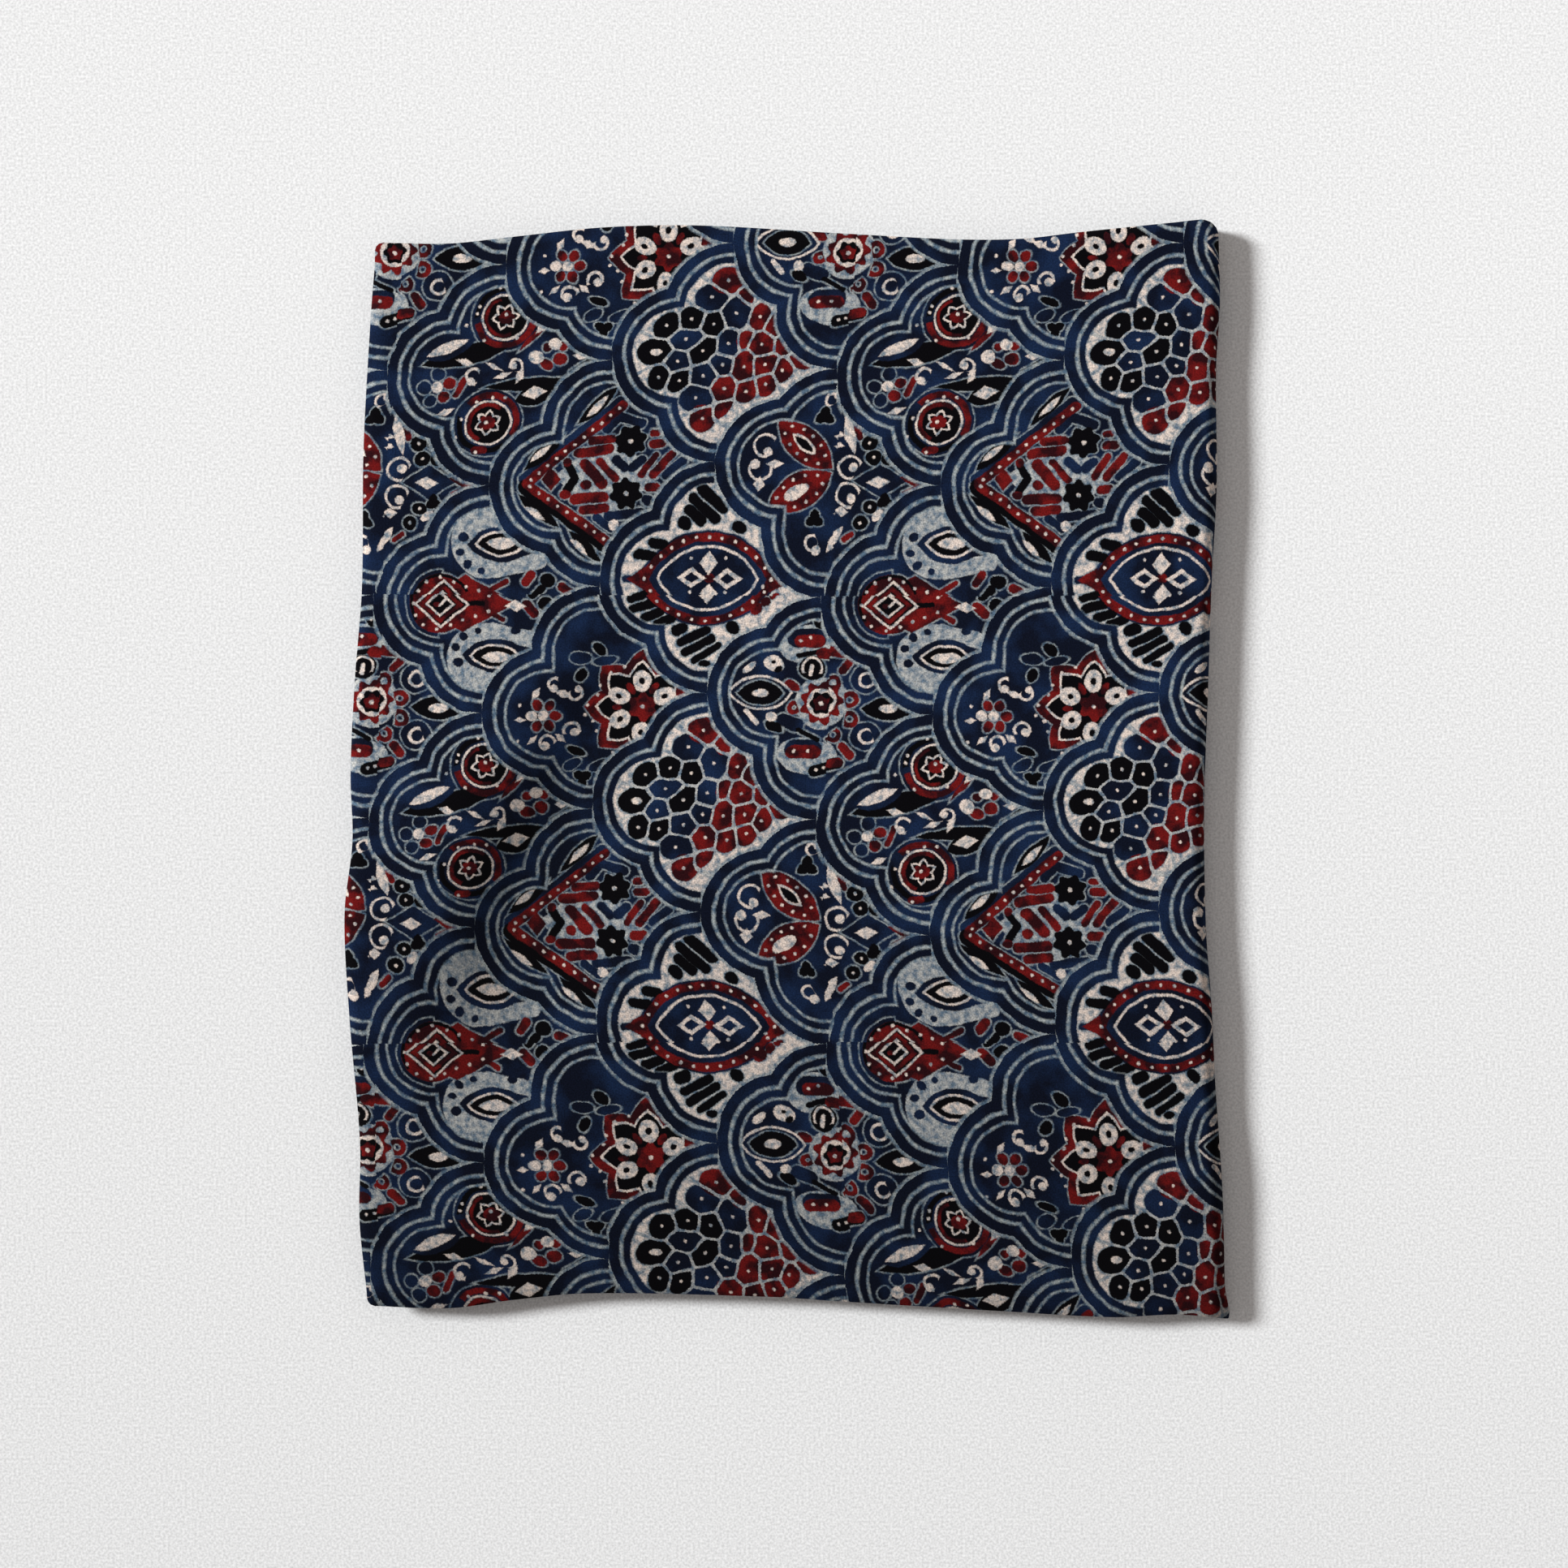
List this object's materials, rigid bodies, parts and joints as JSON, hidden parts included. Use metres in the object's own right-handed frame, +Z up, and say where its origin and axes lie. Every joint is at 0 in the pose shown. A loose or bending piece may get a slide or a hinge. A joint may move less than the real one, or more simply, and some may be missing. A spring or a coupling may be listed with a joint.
{
  "type": "folded ajrakh cloth",
  "caption": "Soft block-printed cotton cloth folded into a flat oblong packet, round on its folded side, to lie on a table, shelf or bed.",
  "frame": {"origin": "under the middle of the packet's bounding box, on the surface that it lies on", "axes": "+X towards the round fold, +Y along the packet's length, +Z up out of the surface it lies on"},
  "size_m": [0.2793, 0.3477, 0.0106],
  "materials": {
    "printed_cloth": "matt printed cotton in indigo, madder red, black and ecru"
  },
  "bodies": {
    "root": {"folded_cloth": "printed_cloth"}
  },
  "joints": []
}
